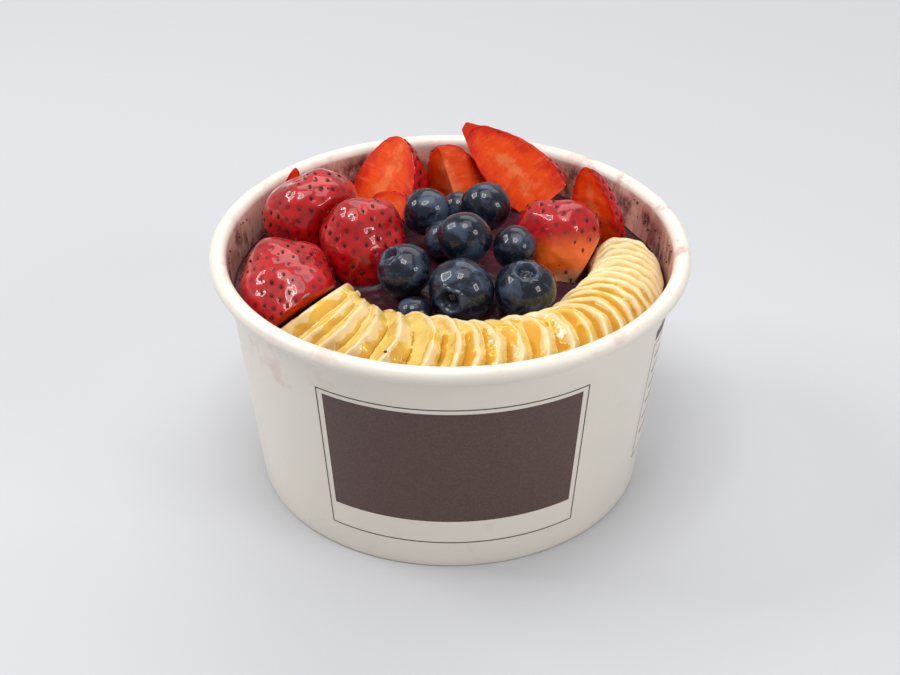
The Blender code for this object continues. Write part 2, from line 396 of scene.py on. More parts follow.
def capped_faces(rows, columns):
    """Wrapped faces with a fan at each end, whose middle points follow the rows: start first, then end."""
    start = rows * columns
    last_row = (rows - 1) * columns
    faces = wrapped_faces(rows, columns)
    for column in range(columns):
        after = (column + 1) % columns
        faces.append((start, after, column))
        faces.append((start + 1, last_row + column, last_row + after))
    return faces


# ---- The tub ----


def wall_radius(height):
    top = RIM_RADIUS - 2 * ROLL_RADIUS + PAPER
    return BASE_RADIUS + (top - BASE_RADIUS) * height / (TUB_HEIGHT - ROLL_RADIUS)


def inside_radius(height):
    return wall_radius(height) - PAPER


def tub_profile():
    """(radius, height) points from the floor's middle up the inside, over the rim and down the outside."""
    floor_top = SKIRT_HEIGHT + PAPER
    points = [(r * MM, floor_top) for r in (8, 20, 35, 48)]
    corner = inside_radius(floor_top)
    points += [(corner - 0.8 * MM, floor_top), (corner, floor_top + 0.8 * MM)]
    for height in np.linspace(floor_top + 3 * MM, TUB_HEIGHT - ROLL_RADIUS - 0.4 * MM, WALL_ROWS):
        points.append((inside_radius(height), height))
    reach, rise = RIM_RADIUS - ROLL_RADIUS, TUB_HEIGHT - ROLL_RADIUS
    for angle in np.radians(np.linspace(180, -165, ROLL_ROWS)):
        points.append((reach + ROLL_RADIUS * math.cos(angle), rise + ROLL_RADIUS * math.sin(angle)))
    for height in np.linspace(TUB_HEIGHT - 2 * ROLL_RADIUS - 0.6 * MM, 1.0 * MM, WALL_ROWS):
        points.append((wall_radius(height), height))
    points += [(wall_radius(0) - 0.1 * MM, 0.3 * MM), (wall_radius(0) - 0.4 * MM, 0)]
    points += [(wall_radius(0) - SKIRT_PAPER + 0.2 * MM, 0), (wall_radius(0) - SKIRT_PAPER, 0.3 * MM)]
    points += [(wall_radius(SKIRT_HEIGHT) - SKIRT_PAPER, SKIRT_HEIGHT)]
    points += [(r * MM, SKIRT_HEIGHT) for r in (40, 20, 8)]
    return points


def board_material():
    shader = Shader("paper_board", 0.42, Coat_Weight=0.25, Coat_Roughness=0.3)
    fibre = shader.noise(900, 4)
    cloud = shader.noise(22, 3)
    board = shader.mix(shader.ramp(cloud, 0.35, 0.7), BOARD_WHITE, tuple(0.955 * c for c in BOARD_WHITE))
    marks = shader.ramp(shader.noise(70, 5, None, 0.7, 0.4), 0.62, 0.78, 0.0, 0.35)
    board = shader.mix(marks, board, BOARD_MARKS)
    # Acai dried on the inside, in patches and downward streaks, with wiped strips between them.
    streaks = shader.noise(1, 4, shader.place((420, 420, 90)), 0.6, 0.8)
    patches = shader.noise(62, 5, None, 0.62, 0.6)
    streaks = shader.ramp(streaks, 0.3, 0.6, 0.35, 1.0)
    stain = shader.maths("MULTIPLY", shader.ramp(patches, 0.38, 0.52), streaks)
    stain = shader.maths("MULTIPLY", stain, shader.attribute("stained"))
    film = shader.mix(shader.ramp(shader.noise(110, 5, None, 0.65), 0.42, 0.58), STAIN_PINK, STAIN_DARK)
    thin = shader.maths("MULTIPLY", shader.attribute("stained"), 0.75)
    inside = shader.mix(thin, board, STAIN_FILM)
    inside = shader.mix(stain, inside, film)
    # Faint pink smears on the rim and on the outside at the left.
    smear = shader.ramp(shader.noise(120, 5, None, 0.65), 0.5, 0.66)
    smear = shader.maths("MULTIPLY", smear, shader.attribute("smeared"))
    shader.colour(shader.mix(smear, inside, STAIN_SMEAR))
    shader.bump(fibre, 0.12, 0.0002)
    return shader.material


def make_tub():
    profile = np.array(tub_profile())
    angles = np.arange(TUB_STEPS) / TUB_STEPS * math.tau
    seam = np.exp(-(((np.degrees(angles) - 22) / 0.9) ** 2)) * 0.25 * MM  # the wall's glued side seam
    radius = profile[:, :1] + np.where(profile[:, :1] > 50 * MM, seam[None, :], 0) * (profile[:, 1:] > 8 * MM)
    height = np.repeat(profile[:, 1:], TUB_STEPS, 1)
    points = np.stack([radius * np.cos(angles), radius * np.sin(angles), height], 2).reshape(-1, 3)
    rows = len(profile)
    points = np.vstack([points, [[0, 0, profile[0, 1]], [0, 0, profile[-1, 1]]]])
    row = np.repeat(np.arange(rows), TUB_STEPS)
    inner = (row <= INSIDE_ROWS).astype(float) * (points[:-2, 2] > 12 * MM)
    fade = 1 - 0.85 * smoothstep(64 * MM, 67.2 * MM, points[:-2, 2])
    stained = np.append(inner * fade, [0, 0])
    at = np.degrees(np.arctan2(points[:-2, 1], points[:-2, 0]))
    rim = smoothstep(63 * MM, 66 * MM, points[:-2, 2]) * (row < INSIDE_ROWS + ROLL_ROWS // 2)
    right_side = np.exp(-(((at - 15) / 38) ** 2))
    outside = row > INSIDE_ROWS + ROLL_ROWS
    left_side = np.exp(-(((at + 145) / 20) ** 2)) * outside * smoothstep(38 * MM, 48 * MM, points[:-2, 2])
    smeared = np.append(rim * (0.25 + 0.6 * right_side) + 0.28 * left_side, [0, 0])
    faces = [face[::-1] for face in capped_faces(rows, TUB_STEPS)]
    attributes = {"stained": stained, "smeared": smeared}
    new_piece("tub_board", points, faces, board_material(), ["tub"], attributes)


def wall_patch(low, high, left, right, columns, rows):
    """Points on the tub's outside, in rows from low to high, and the faces between them."""
    points = []
    for height in np.linspace(low, high, rows):
        for angle in np.linspace(left, right, columns):
            turn = angle - math.pi / 2
            radius = wall_radius(height) + INK_HEIGHT
            points.append((radius * math.cos(turn), radius * math.sin(turn), height))
    faces = []
    for row in range(rows - 1):
        for column in range(columns - 1):
            first = row * columns + column
            faces.append((first, first + 1, first + columns + 1, first + columns))
    return points, faces


def make_print():
    """A plain brown field and a thin line round it and a cream strip below it."""
    shader = Shader("panel_ink", 0.5, Coat_Weight=0.2, Coat_Roughness=0.35)
    worn = shader.ramp(shader.noise(1600, 4, None, 0.65), 0.35, 0.7)
    field = shader.mix(worn, tuple(0.85 * c for c in INK_BROWN), tuple(1.3 * c for c in INK_BROWN))
    scuffs = shader.ramp(shader.noise(1, 5, shader.place((500, 500, 110)), 0.7, 0.5), 0.68, 0.8, 0.0, 0.3)
    shader.colour(shader.mix(scuffs, field, INK_SCUFFS))
    shader.bump(shader.noise(900, 3), 0.1, 0.0002)
    left, right = PANEL_MIDDLE - FIELD_HALF_WIDTH, PANEL_MIDDLE + FIELD_HALF_WIDTH
    points, faces = wall_patch(FIELD_LOW, FIELD_HIGH, left, right, 80, 30)
    new_piece("panel_field", points, faces, shader.material)
    left, right = PANEL_MIDDLE - FRAME_HALF_WIDTH, PANEL_MIDDLE + FRAME_HALF_WIDTH
    new_lines("panel_frame", frame_strips(left, right, FRAME_LOW, FRAME_HIGH), shader.material)
    # A plain block of thin lines starts at the right-hand edge and runs round the side.
    left, right = SIDE_BLOCK
    strips = frame_strips(left, right, SIDE_LOW, SIDE_HIGH)
    strips.append((SIDE_HIGH + 1.5 * MM, SIDE_HIGH + 4.5 * MM, left, left + math.radians(16), 12, 2))
    for number in range(6):
        height = SIDE_HIGH - (5 + 5 * number) * MM
        indent = math.radians(3)
        strips.append((height - 0.7 * MM, height, left + indent, right - indent * (1 + number % 3), 40, 2))
    new_lines("side_block", strips, shader.material)


def frame_strips(left, right, low, high):
    """The four thin sides of a frame on the wall."""
    line = FRAME_LINE / wall_radius(30 * MM)
    return [
        (low, low + FRAME_LINE, left, right, 80, 2),
        (high - FRAME_LINE, high, left, right, 80, 2),
        (low + FRAME_LINE, high - FRAME_LINE, left, left + line, 2, 30),
        (low + FRAME_LINE, high - FRAME_LINE, right - line, right, 2, 30),
    ]


def new_lines(name, strips, material):
    points, faces = [], []
    for strip in strips:
        more, corners = wall_patch(*strip)
        faces += [tuple(corner + len(points) for corner in face) for face in corners]
        points += more
    new_piece(name, points, faces, material)


# ---- Strawberries ----


def strawberry_matrix(berry):
    turn = (-Vector(berry.tip)).to_track_quat("Z", "Y").to_matrix().to_4x4()
    return Matrix.Translation(Vector(berry.centre) * MM) @ turn


def strawberry_girth(share, taper):
    widest = taper / (taper + SHOULDER)
    most = widest**taper * (1 - widest) ** SHOULDER
    return share**taper * (1 - share) ** SHOULDER / most


def strawberry_surface(berry, share, around):
    """Local points of the uncut berry, whose tip is along -Z."""
    phase = len(berry.name)
    lumps = 1 + 0.04 * np.sin(2 * around + phase) + 0.03 * np.sin(3 * around + 2 * phase)
    reach = strawberry_girth(share, berry.taper) * lumps * berry.width / 2 * MM
    return np.stack([reach * np.cos(around), reach * np.sin(around), (share - 0.5) * berry.length * MM], -1)


def strawberry_seeds(berry):
    """Places of the seeds in a spiral, about 3 mm apart, on the uncut skin."""
    area = math.pi * berry.width * berry.length * 0.9
    count = int(area / 10.5)
    index = np.arange(count) + 0.5
    share = 0.5 - 0.5 * np.cos(np.arccos(1 - 2 * index / count)) * 0.98
    around = index * math.radians(137.508) + len(berry.name)
    return strawberry_surface(berry, np.clip(share, 0.02, 0.97), around)


def clipped(points, cuts):
    """The points pressed flat behind each cut with a slightly round edge, and how far each was outside."""
    outside = np.full(len(points), -1.0)
    edge = 0.25 * MM
    for turn in range(4):
        for normal, distance in cuts:
            over = points @ normal - distance
            if turn == 0:
                outside = np.maximum(outside, over)
            kept = -edge * np.log1p(np.exp(-over / edge))
            points = points + np.where(over > -4 * edge, kept - over, 0)[:, None] * normal
        edge = 0.08 * MM
    return points, outside


def transform(matrix, points):
    turned = np.asarray(points) @ np.array(matrix.to_3x3()).T
    return turned + np.array(matrix.translation)


def noise_at(points, wave, phase):
    """Smooth noise at each point, in lumps about a wave across."""
    return np.array([noise.noise(Vector(p) / wave + phase) for p in points])


def strawberry_material():
    shader = Shader("strawberry_fruit", 0.4, Coat_Roughness=0.06, Coat_IOR=1.5, Specular_IOR_Level=0.2)
    shader.bsdf.inputs["Subsurface Weight"].default_value = 0.15
    shader.bsdf.inputs["Subsurface Radius"].default_value = (1.0, 0.3, 0.2)
    shader.bsdf.inputs["Subsurface Scale"].default_value = 0.002
    blotch = shader.noise(190, 4, None, 0.6)
    skin = shader.mix(shader.ramp(blotch, 0.3, 0.7), SKIN_RED, tuple(0.6 * c for c in SKIN_RED))
    # Painted shade: the skin is darkened in the pits round the seeds.
    skin = shader.mix(shader.ramp(shader.attribute("pit"), 0.1, 0.9), skin, SKIN_PIT_SHADE)
    pale = shader.maths("ADD", shader.attribute("pale"), shader.maths("MULTIPLY", blotch, 0.2))
    skin = shader.mix(shader.ramp(pale, 0.35, 0.72), skin, SKIN_ORANGE)
    skin = shader.mix(shader.ramp(pale, 0.85, 1.15), skin, SKIN_PALE)
    # Cut faces: red under the skin, then orange, with a paler core and fine fibres that run to the skin.
    streak = shader.noise(1, 4, shader.fruit_place(), 0.6, 0.4)
    cloud = shader.noise(260, 4, None, 0.6)
    core = shader.maths("ADD", shader.attribute("core"), shader.ramp(cloud, 0.2, 0.8, -0.25, 0.25))
    flesh = shader.mix(shader.ramp(core, 0.5, 1.0), FLESH_ORANGE, FLESH_RED)
    flesh = shader.mix(shader.ramp(core, 0.02, 0.38, 0.6, 0.0), flesh, FLESH_PALE)
    flesh = shader.mix(shader.ramp(streak, 0.52, 0.72, 0.0, 0.32), flesh, FLESH_PALE)
    flesh = shader.mix(shader.ramp(streak, 0.28, 0.45, 0.4, 0.0), flesh, FLESH_RED)
    shader.colour(shader.mix(shader.attribute("cut"), skin, flesh))
    shader.join(shader.attribute("glaze"), shader.bsdf.inputs["Coat Weight"])
    grain = shader.maths("ADD", shader.noise(700, 4, None, 0.6), streak)
    shader.bump(grain, 0.2, 0.0004)
    return shader.material


def local_cuts(berry, matrix):
    """The berry's cuts as (normal, distance) in its own space."""
    to_local = np.array(matrix.to_3x3().inverted())
    cuts = []
    for direction, distance in berry.cuts:
        normal = to_local @ (np.array(direction) / np.linalg.norm(direction))
        cuts.append((normal, distance * MM))
    return cuts


def nearest_seed(points, seeds):
    """How far each point is from the seed nearest to it, in blocks to save memory."""
    nearest = np.full(len(points), 1.0)
    for start in range(0, len(points), 4000):
        block = points[start : start + 4000]
        nearest[start : start + 4000] = np.sqrt(((block[:, None] - seeds[None]) ** 2).sum(2)).min(1)
    return nearest


def smooth_cut_edges(points, outside, rows, columns):
    """Draw the points near a cut towards their neighbours' mean, in place."""
    near_cut = smoothstep(-0.6 * MM, 0, outside)[:-2].reshape(rows, columns, 1) * 0.7
    for _ in range(6):
        grid = points[:-2].reshape(rows, columns, 3)
        padded = np.concatenate([grid[:1], grid, grid[-1:]])
        middle = (np.roll(grid, 1, 1) + np.roll(grid, -1, 1) + padded[:-2] + padded[2:]) / 4
        points[:-2] = (grid + (middle - grid) * near_cut).reshape(-1, 3)
    points[-2:] = points[:columns].mean(0), points[-2 - columns : -2].mean(0)


def make_strawberry(berry, material, seed_material):
    columns, rows = 150, 110
    matrix = strawberry_matrix(berry)
    cuts = local_cuts(berry, matrix)
    share = 0.5 - 0.5 * np.cos(np.linspace(0, math.pi, rows + 2)[1:-1])
    around = np.arange(columns) / columns * math.tau
    points = strawberry_surface(berry, *np.meshgrid(share, around, indexing="ij")).reshape(-1, 3)
    ends = np.array([[0, 0, -berry.length / 2 * MM], [0, 0, berry.length / 2 * MM]])
    points = np.vstack([points, ends])
    seeds = strawberry_seeds(berry)
    nearest = nearest_seed(points, seeds)
    axis_point = np.zeros_like(points)
    axis_point[:, 2] = points[:, 2] * 0.6
    inward = axis_point - points
    inward /= np.maximum(np.linalg.norm(inward, axis=1, keepdims=True), 1e-9)
    pit = np.exp(-((nearest / (0.8 * MM)) ** 2))
    points += inward * (pit * blend(0.5, 0.16, berry.glaze) * MM)[:, None]
    phase = Vector((len(berry.name), 0, 0))
    lump = noise_at(points, 8 * MM, phase)
    fine = noise_at(points, 2.4 * MM, phase)
    points += inward * ((lump * blend(0.6, 1.3, berry.glaze) + fine * 0.16) * MM)[:, None]
    points, outside = clipped(points, cuts)
    cut = smoothstep(-0.1 * MM, 0.3 * MM, outside) * (not berry.whole)
    dip = noise_at(points, 3.2 * MM, phase)
    points += inward * (cut * (0.25 + 0.35 * dip) * MM)[:, None]
    smooth_cut_edges(points, outside, rows, columns)
    share_now = np.clip(points[:, 2] / (berry.length * MM) + 0.5, 0.02, 0.98)
    reach = np.linalg.norm(points[:, :2], axis=1)
    core = reach / (strawberry_girth(share_now, berry.taper) * berry.width / 2 * MM)
    turn = np.arctan2(points[:, 1], points[:, 0])
    along = share_now * berry.length / 1.1 - 1.6 * core
    fruit_place = np.column_stack([along, 1.6 * np.cos(turn) + len(berry.name), core * 1.4 + np.sin(turn)])
    world = transform(matrix, points)
    pale = np.zeros(len(points))
    if berry.pale:
        direction = np.array(berry.pale) / np.linalg.norm(berry.pale)
        along = (world - np.array(berry.centre) * MM) @ direction / (berry.length / 2 * MM)
        pale = np.clip(0.5 + 0.75 * along, 0, 1.3)
    attributes = {
        "cut": cut,
        "pit": pit,
        "core": core,
        "pale": pale,
        "glaze": np.full(len(points), berry.glaze),
        "fruit_place": fruit_place,
    }
    faces = capped_faces(rows, columns)
    fruit = new_piece(f"{berry.name}_fruit", world, faces, material, [berry.name], attributes)
    make_seeds(berry, matrix, seeds, cuts, seed_material)
    return fruit


def make_seeds(berry, matrix, seeds, cuts, material):
    """Small drops lying in the skin's pits, pointed towards the berry's tip."""
    rings, sides = 5, 8
    points, faces = [], []
    for seed in seeds:
        if any(seed @ normal > distance - 0.3 * MM for normal, distance in cuts):
            continue
        out = np.array([seed[0], seed[1], seed[2] * 0.5])
        out /= np.linalg.norm(out)
        down = np.array([0, 0, -1.0])
        down -= out * (down @ out)
        down /= max(np.linalg.norm(down), 1e-6)
        side = np.cross(out, down)
        base = seed - out * (0.36 if berry.glaze < 1 else 0.2) * MM
        start = len(points)
        for ring in range(rings):
            along = math.cos(math.pi * (ring + 0.5) / rings)
            wide = math.sin(math.pi * (ring + 0.5) / rings) * (1 - 0.3 * along)
            for step in range(sides):
                angle = math.tau * step / sides
                sideways = side * 0.36 * wide * math.cos(angle)
                offset = down * 0.6 * along + sideways + out * 0.2 * wide * math.sin(angle)
                points.append(base + offset * MM)
        points += [base + down * 0.65 * MM, base - down * 0.6 * MM]
        faces += [tuple(c + start for c in face) for face in capped_faces(rings, sides)]
    if points:
        new_piece(f"{berry.name}_seeds", transform(matrix, points), faces, material)


# ---- Blueberries ----


def blueberry_material():
    shader = Shader("blueberry_skin", 0.3, Coat_Weight=0.85, Coat_Roughness=0.03, Specular_IOR_Level=0.2)
    shader.bsdf.inputs["Coat IOR"].default_value = 1.42
    bloom = shader.noise(170, 5, None, 0.62, 0.6)
    fine = shader.noise(900, 3, None, 0.6)
    bloom = shader.maths("ADD", shader.ramp(bloom, 0.46, 0.64), shader.maths("MULTIPLY", fine, 0.12))
    bloom = shader.maths("MAXIMUM", shader.maths("MULTIPLY", bloom, 0.8), shader.attribute("crown"))
    shader.colour(shader.mix(bloom, BERRY_BLACK, BERRY_BLOOM))
    shader.join(shader.ramp(bloom, 0.0, 1.0, 0.22, 0.5), shader.bsdf.inputs["Roughness"])
    shader.bump(shader.maths("ADD", fine, shader.noise(300, 3)), 0.2, 0.0003)
    return shader.material


def make_blueberry(berry, material):
    """A ball, a little flat along the crown's axis, with a five-pointed crown round a crater."""
    columns, rows = 110, 84
    polar = np.linspace(0, math.pi, rows + 2)[1:-1] ** 1.08 / math.pi**0.08
    around = np.arange(columns) / columns * math.tau
    polar, around = np.meshgrid(polar, around, indexing="ij")
    star = 0.5 + 0.5 * np.cos(5 * around + len(berry.name))
    lip = 0.36 + 0.10 * star
    lift = 0.06 * np.exp(-(((polar - lip) / 0.055) ** 2)) * (0.55 + 0.45 * star)
    crater = 0.26 * (1 - smoothstep(0.16, 0.37, polar))
    nub = 0.05 * np.exp(-((polar / 0.08) ** 2))
    shape = 1 - 0.02 * star * smoothstep(0.4, 0.9, polar) + lift
    radius = berry.radius * MM
    points = np.stack(
        [
            radius * shape * np.sin(polar) * np.cos(around),
            radius * shape * np.sin(polar) * np.sin(around),
            radius * (shape * np.cos(polar) * 0.92 - crater + nub),
        ],
        -1,
    ).reshape(-1, 3)
    top = radius * (0.92 - 0.26 + 0.05)
    points = np.vstack([points, [[0, 0, top], [0, 0, -0.92 * radius]]])
    wobble = noise_at(points, 7 * MM, Vector((len(berry.name), 0, 0)))
    points *= (1 + 0.025 * wobble)[:, None]
    crown = np.append((np.exp(-(((polar - 0.36) / 0.14) ** 2)) * 0.55).ravel(), [0, 0])
    turn = Vector(berry.crown).to_track_quat("Z", "Y").to_matrix().to_4x4()
    world = transform(Matrix.Translation(Vector(berry.centre) * MM) @ turn, points)
    faces = [face[::-1] for face in capped_faces(rows, columns)]
    attributes = {"crown": crown}
    return new_piece(f"{berry.name}_berry", world, faces, material, [berry.name], attributes)


# ---- Banana slices ----


@dataclass
class Slice:
    angle: float
    share: float

    @property
    def radius(self):
        wobble = 1 + 0.03 * math.sin(9 * self.angle)
        return wobble * blend(FIRST_SLICE_RADIUS, LAST_SLICE_RADIUS, self.share**1.5)

    @property
    def lean(self):
        if self.share < 0.25:
            return blend(FIRST_LEAN, MOST_LEAN, self.share / 0.25)
        return blend(MOST_LEAN, LAST_LEAN, (self.share - 0.25) / 0.75)

    @property
    def tilt(self):
        return blend(FIRST_TILT, LAST_TILT, self.share)

    @property
    def fan_radius(self):
        inset = GAP + 0.6 * MM + FAN_START_INSET * max(0, 1 - self.share / 0.3)
        return inside_radius(ACAI_EDGE) - inset - self.radius * math.cos(self.tilt) ** 2

    @property
    def height(self):
        return FAN_TOP - self.radius * max(math.cos(self.lean), math.sin(self.tilt))

    def matrix(self):
        outward = Vector((math.cos(self.angle), math.sin(self.angle), 0))
        onward = Vector((-math.sin(self.angle), math.cos(self.angle), 0))
        up = Vector((0, 0, math.cos(self.lean))) + onward * math.sin(self.lean)
        turn = Matrix((outward, up, outward.cross(up))).transposed().to_4x4()
        place = Matrix.Translation(outward * self.fan_radius + Vector((0, 0, self.height)))
        return place @ Matrix.Rotation(self.tilt, 4, onward) @ turn


def fan_slices():
    angle = FAN_START
    for number, step in enumerate((0, *FAN_STEPS)):
        share = number / len(FAN_STEPS)
        angle += step * MM / Slice(angle, share).fan_radius
        yield Slice(angle, share)


def banana_material():
    shader = Shader("banana_flesh", 0.4, Coat_Roughness=0.06, Coat_IOR=1.4)
    shader.bsdf.inputs["Subsurface Weight"].default_value = 0.18
    shader.bsdf.inputs["Subsurface Radius"].default_value = (1.0, 0.6, 0.25)
    shader.bsdf.inputs["Subsurface Scale"].default_value = 0.002
    from_middle = shader.attribute("from_middle")
    mottle = shader.noise(330, 4, None, 0.6)
    flesh = shader.mix(shader.ramp(mottle, 0.3, 0.7), BANANA_FLESH, tuple(0.9 * c for c in BANANA_FLESH))
    flesh = shader.mix(shader.ramp(from_middle, 0.25, 0.6, 0.55, 0.0), flesh, BANANA_CORE)
    edge = shader.maths("ADD", from_middle, shader.ramp(mottle, 0.0, 1.0, -0.05, 0.05))
    flesh = shader.mix(shader.ramp(edge, 0.84, 0.95), flesh, BANANA_EDGE)
    less_at_edge = shader.ramp(from_middle, 0.82, 0.97, 0.85, 0.3)
    honeyed = shader.maths("MULTIPLY", shader.attribute("honeyed"), less_at_edge)
    shader.colour(shader.mix(honeyed, flesh, BANANA_HONEYED))
    shader.join(shader.ramp(shader.attribute("honeyed"), 0, 1, 0.15, 1.0), shader.bsdf.inputs["Coat Weight"])
    shader.bump(shader.noise(520, 5, None, 0.65), 0.3, 0.0006)
    return shader.material


def make_slice(number, piece, following, material):
    to_local = piece.matrix().inverted() @ following.matrix()
    plane_point, plane_normal = np.array(to_local.translation), np.array(to_local.col[2].xyz)
    around = np.arange(SLICE_SIDES) / SLICE_SIDES * math.tau
    lobes = 1 + 0.025 * np.cos(3 * around + 5 * piece.angle) + 0.015 * np.cos(2 * around)
    waves = 0.012 * np.sin(7 * around + 3 * number) + 0.008 * np.sin(13 * around + number)
    outline = (lobes / 1.04 + waves - 0.012) * piece.radius
    # (share of the outline, share of the depth) from the upper face's middle over the rim to the lower face.
    rings = [(r, 0.0) for r in (0.08, 0.2, 0.35, 0.5, 0.62, 0.72, 0.8, 0.87, 0.92)]
    rings += [(0.955, 0.015), (0.98, 0.05), (0.995, 0.13), (1.003, 0.3), (1.005, 0.5), (1.003, 0.75)]
    rings += [(1.0, 0.93), (0.985, 1.0), (0.9, 1.0), (0.6, 1.0), (0.2, 1.0)]
    points, share = [], []
    for across, deep in rings:
        spot = np.stack([np.cos(around) * outline * across, np.sin(around) * outline * across], 1)
        depth = (plane_point[None, :2] - spot) @ plane_normal[:2] + plane_point[2] * plane_normal[2]
        depth = depth / plane_normal[2] + SLICE_GAP
        place = [Vector((*p, d * deep)) + Vector((0, 0, 9 * number * MM)) for p, d in zip(spot, depth)]
        rumple = np.array([noise.noise(p / (3.4 * MM)) + 0.5 * noise.noise(p / (1.3 * MM)) for p in place])
        spot = spot * (1 + (0.028 * rumple * (across > 0.85))[:, None])
        points.append(np.column_stack([spot, depth * deep - 0.3 * MM * np.abs(rumple) * (deep < 0.1)]))
        share.append(np.full(SLICE_SIDES, across if deep < 0.05 else 1.0))
    flat = np.vstack(points)
    middle_depth = float(plane_point @ plane_normal / plane_normal[2]) + SLICE_GAP
    flat = np.vstack([flat, [[0, 0, 0], [0, 0, middle_depth]]])
    from_middle = np.append(np.concatenate(share), [0, 0])
    world = transform(piece.matrix(), flat)
    honeyed = honey_share(world[:, 0], world[:, 1])
    faces = [face[::-1] for face in capped_faces(len(rings), SLICE_SIDES)]
    if middle_depth < 0:
        faces = [face[::-1] for face in faces]
    return new_piece(
        f"banana_{number:02d}_slice",
        world,
        faces,
        material,
        [f"banana_{number:02d}"],
        {"from_middle": from_middle, "honeyed": honeyed},
    )


# ---- Honey ----


def honey_share(x, y):
    """How much honey lies at a place: most at the front, little at the right-hand end of the fan."""
    angle = np.degrees(np.arctan2(y, x))
    share = smoothstep(-8, -42, angle) * smoothstep(-175, -150, angle)
    return np.clip(share, 0, 1)


def honey_material():
    shader = Shader("honey", 0.05, Coat_Weight=0.5, Coat_Roughness=0.03)
    shader.colour(shader.mix(shader.ramp(shader.noise(260, 3), 0.3, 0.7), HONEY_DEEP, HONEY_LIGHT))
    clear = shader.node("ShaderNodeBsdfTransparent", Color=(*HONEY_TINT, 1))
    facing = shader.node("ShaderNodeLayerWeight", Blend=0.25).outputs["Fresnel"]
    mixed = shader.node("ShaderNodeMixShader")
    shader.join(shader.maths("ADD", facing, 0.03), mixed.inputs[0])
    shader.join(clear.outputs[0], mixed.inputs[1])
    shader.join(shader.bsdf.outputs[0], mixed.inputs[2])
    shader.join(mixed.outputs[0], shader.tree.nodes["Material Output"].inputs["Surface"])
    shader.bump(shader.noise(300, 3), 0.15, 0.0004)
    return shader.material


def blurred(values, times):
    for _ in range(times):
        for axis in (0, 1):
            values = (np.roll(values, 1, axis) + 2 * values + np.roll(values, -1, axis)) / 4
    return values


def closed_sheet(top, bottom, kept):
    """A closed skin between two grids of points, over the cells that are kept."""
    rows, columns = kept.shape
    number = -np.ones((rows + 1, columns + 1), dtype=int)
    cells = np.argwhere(kept)
    corners = {(r + a, c + b) for r, c in cells for a in (0, 1) for b in (0, 1)}
    order = sorted(corners)
    for index, corner in enumerate(order):
        number[corner] = index
    count = len(order)
    points = [top[corner] for corner in order] + [bottom[corner] for corner in order]
    faces, edges = [], {}
    for r, c in cells:
        loop = [number[r, c], number[r, c + 1], number[r + 1, c + 1], number[r + 1, c]]
        faces += [tuple(loop), tuple(v + count for v in reversed(loop))]
        for a, b in zip(loop, loop[1:] + loop[:1]):
            edges[(a, b)] = True
    for a, b in edges:
        if (b, a) not in edges:
            faces.append((b, a, a + count, b + count))
    return points, faces


def make_honey(slices_tree):
    """A film that fills the valleys between the slices and lies in runs over them."""
    angles = np.radians(np.arange(-158, -4, 0.5))
    reaches = np.arange(27 * MM, inside_radius(62 * MM) - 0.2 * MM, 0.45 * MM)
    heights = np.full((len(reaches), len(angles)), 57 * MM)
    for row, reach in enumerate(reaches):
        for column, angle in enumerate(angles):
            start = Vector((reach * math.cos(angle), reach * math.sin(angle), ABOVE_ALL))
            found = slices_tree.ray_cast(start, Vector((0, 0, -1)), 0.04)
            if found[0] is not None:
                heights[row, column] = found[0].z
    x, y = reaches[:, None] * np.cos(angles), reaches[:, None] * np.sin(angles)
    share = honey_share(x, y)
    flat = np.stack([x, y, np.zeros_like(x)], 2).reshape(-1, 3)
    runs = noise_at(flat, 7 * MM, Vector()).reshape(x.shape)
    level = blurred(heights, 9)
    thick = (level - heights) + (0.16 + 0.7 * runs) * MM
    thick = blurred(np.clip(thick, -0.2 * MM, 1.3 * MM), 1) * share - 0.1 * MM * (1 - share)
    thick = np.where(heights < 57.5 * MM, -0.2 * MM, thick)
    thick = np.minimum(thick, (TUB_HEIGHT - 1.2 * MM) - heights)
    top = np.stack([x, y, heights + np.maximum(thick, -0.15 * MM)], 2)
    bottom = np.stack([x, y, heights - 0.35 * MM], 2)
    wet = thick > 0.04 * MM
    kept = wet[:-1, :-1] | wet[1:, :-1] | wet[:-1, 1:] | wet[1:, 1:]
    step_out = np.abs(np.diff(heights, axis=0))[:, :-1]
    step_round = np.abs(np.diff(heights, axis=1))[:-1]
    steep = np.maximum(step_out, step_round) > 1.4 * MM
    points, faces = closed_sheet(top, bottom, kept & ~steep)
    new_piece("honey_film", points, faces, honey_material())


# ---- Acai ----


def acai_material():
    shader = Shader("acai_puree", 0.5, Coat_Weight=0.22, Coat_Roughness=0.16, Specular_IOR_Level=0.25)
    swirl = shader.noise(120, 5, None, 0.6, 1.2)
    shader.colour(shader.mix(shader.ramp(swirl, 0.35, 0.7), ACAI_DARK, ACAI_LIGHT))
    shader.bump(shader.noise(600, 5, None, 0.65), 0.4, 0.0008)
    return shader.material


